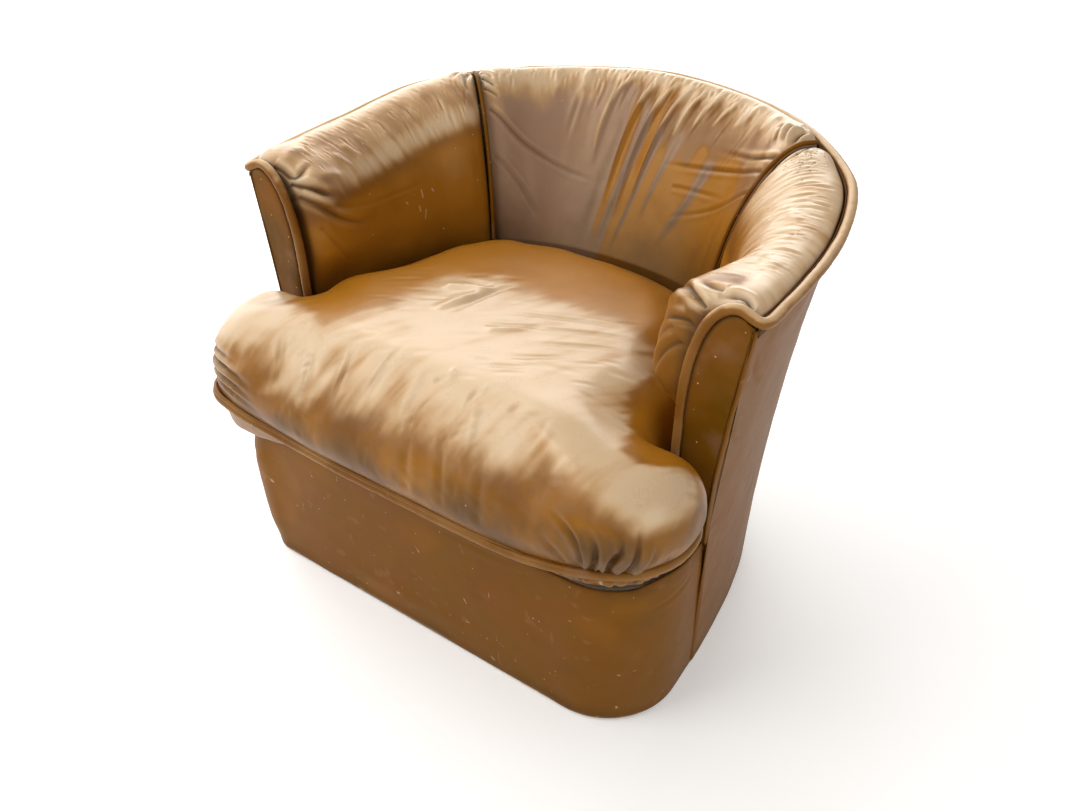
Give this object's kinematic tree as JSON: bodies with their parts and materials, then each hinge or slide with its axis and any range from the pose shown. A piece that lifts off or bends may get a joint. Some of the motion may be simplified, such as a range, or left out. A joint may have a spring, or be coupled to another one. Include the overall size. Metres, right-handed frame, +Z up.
{
  "type": "club chair",
  "caption": "Low leather tub club chair, curved arms and back under a piped rim, T-shaped seat cushion over an apron that reaches the floor; worn and creased.",
  "frame": {"origin": "on the floor, under the middle of the chair's bounding box", "axes": "+Z up, the front of the chair towards -Y, +X to the right as seen from the front camera"},
  "size_m": [0.8138, 0.7282, 0.681],
  "materials": {
    "outside_leather": "worn aniline leather, olive brown, scuffed",
    "inside_leather": "worn tan leather, creased, faded on top",
    "seat_leather": "worn tan leather, glossy, faded pale on top",
    "piping": "filled leather piping, rubbed pale",
    "foam": "upholstery foam",
    "frame_wood": "raw beech",
    "board": "grey-brown tack board",
    "webbing": "elastic webbing",
    "lining_cloth": "black lining cloth",
    "zip_tape": "brown nylon zip",
    "glide_metal": "dull steel glide"
  },
  "bodies": {
    "root": {"outside_right_arm_cover": "outside_leather", "outside_right_arm_board": "board", "inside_right_arm_cover": "inside_leather", "inside_right_arm_foam": "foam", "right_arm_base_rail": "frame_wood", "right_arm_seat_rail": "frame_wood", "right_arm_top_rail": "frame_wood", "outside_left_arm_cover": "outside_leather", "outside_left_arm_board": "board", "inside_left_arm_cover": "inside_leather", "inside_left_arm_foam": "foam", "left_arm_base_rail": "frame_wood", "left_arm_seat_rail": "frame_wood", "left_arm_top_rail": "frame_wood", "outside_back_cover": "outside_leather", "outside_back_board": "board", "inside_back_cover": "inside_leather", "inside_back_foam": "foam", "back_base_rail": "frame_wood", "back_seat_rail": "frame_wood", "back_top_rail": "frame_wood", "front_right_post": "frame_wood", "back_right_post": "frame_wood", "back_left_post": "frame_wood", "front_left_post": "frame_wood", "back_middle_slat": "frame_wood", "front_base_rail": "frame_wood", "front_seat_rail": "frame_wood", "front_apron_cover": "outside_leather", "front_apron_board": "board", "right_arm_facing": "outside_leather", "right_facing_board": "board", "right_back_seam_welt": "piping", "left_arm_facing": "outside_leather", "left_facing_board": "board", "left_back_seam_welt": "piping", "rim_welt": "piping", "seat_cushion_welt": "piping", "seat_strap_long_1": "webbing", "seat_strap_long_2": "webbing", "seat_strap_long_3": "webbing", "seat_strap_long_4": "webbing", "seat_strap_cross_1": "webbing", "seat_strap_cross_2": "webbing", "seat_strap_cross_3": "webbing", "seat_platform": "lining_cloth", "dust_cover": "lining_cloth", "seat_cushion_cover": "seat_leather", "seat_cushion_foam": "foam", "seat_cushion_zip": "zip_tape", "front_right_glide": "glide_metal", "front_left_glide": "glide_metal", "back_right_glide": "glide_metal", "back_left_glide": "glide_metal"}
  },
  "joints": []
}
